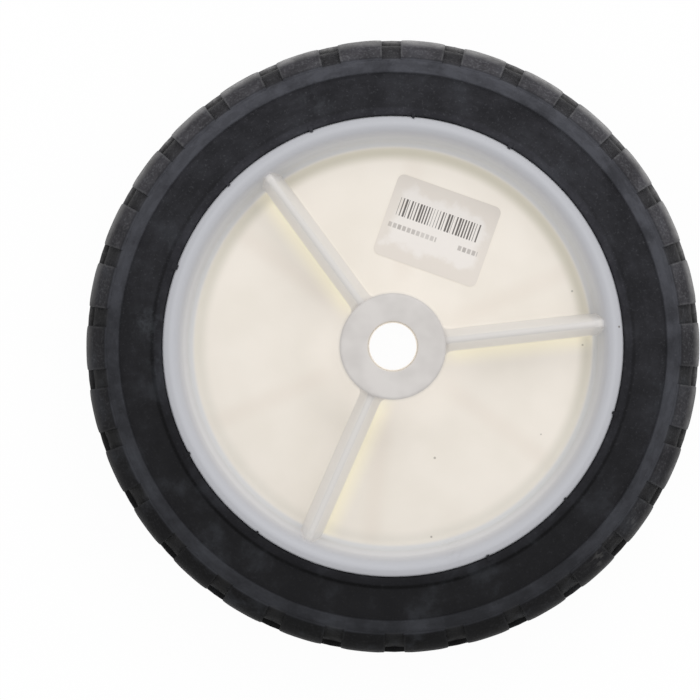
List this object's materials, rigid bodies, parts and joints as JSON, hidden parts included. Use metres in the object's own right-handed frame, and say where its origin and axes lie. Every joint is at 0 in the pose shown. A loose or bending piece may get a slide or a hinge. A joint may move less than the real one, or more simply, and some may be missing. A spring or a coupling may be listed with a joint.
{
  "type": "lawn mower wheel",
  "caption": "Plain-bore machine wheel: a ribbed plastic hub and rim moulding with a solid rubber tyre that has a diamond block tread, and a paper label on the web.",
  "frame": {"origin": "centre of the wheel: on the axle's line, midway between the two sides", "axes": "+Z along the axle, out of the pictured side; +X along one of the front ribs"},
  "size_m": [0.1772, 0.1778, 0.0382],
  "materials": {
    "white_plastic": "milky white moulded plastic, slightly translucent, satin",
    "black_rubber": "matt black moulded rubber with chalky patches and light scuffs",
    "label_paper": "matt off-white paper sticker with plain grey bars"
  },
  "bodies": {
    "root": {"plastic_wheel": "white_plastic", "rubber_tyre": "black_rubber", "paper_label": "label_paper"}
  },
  "joints": []
}
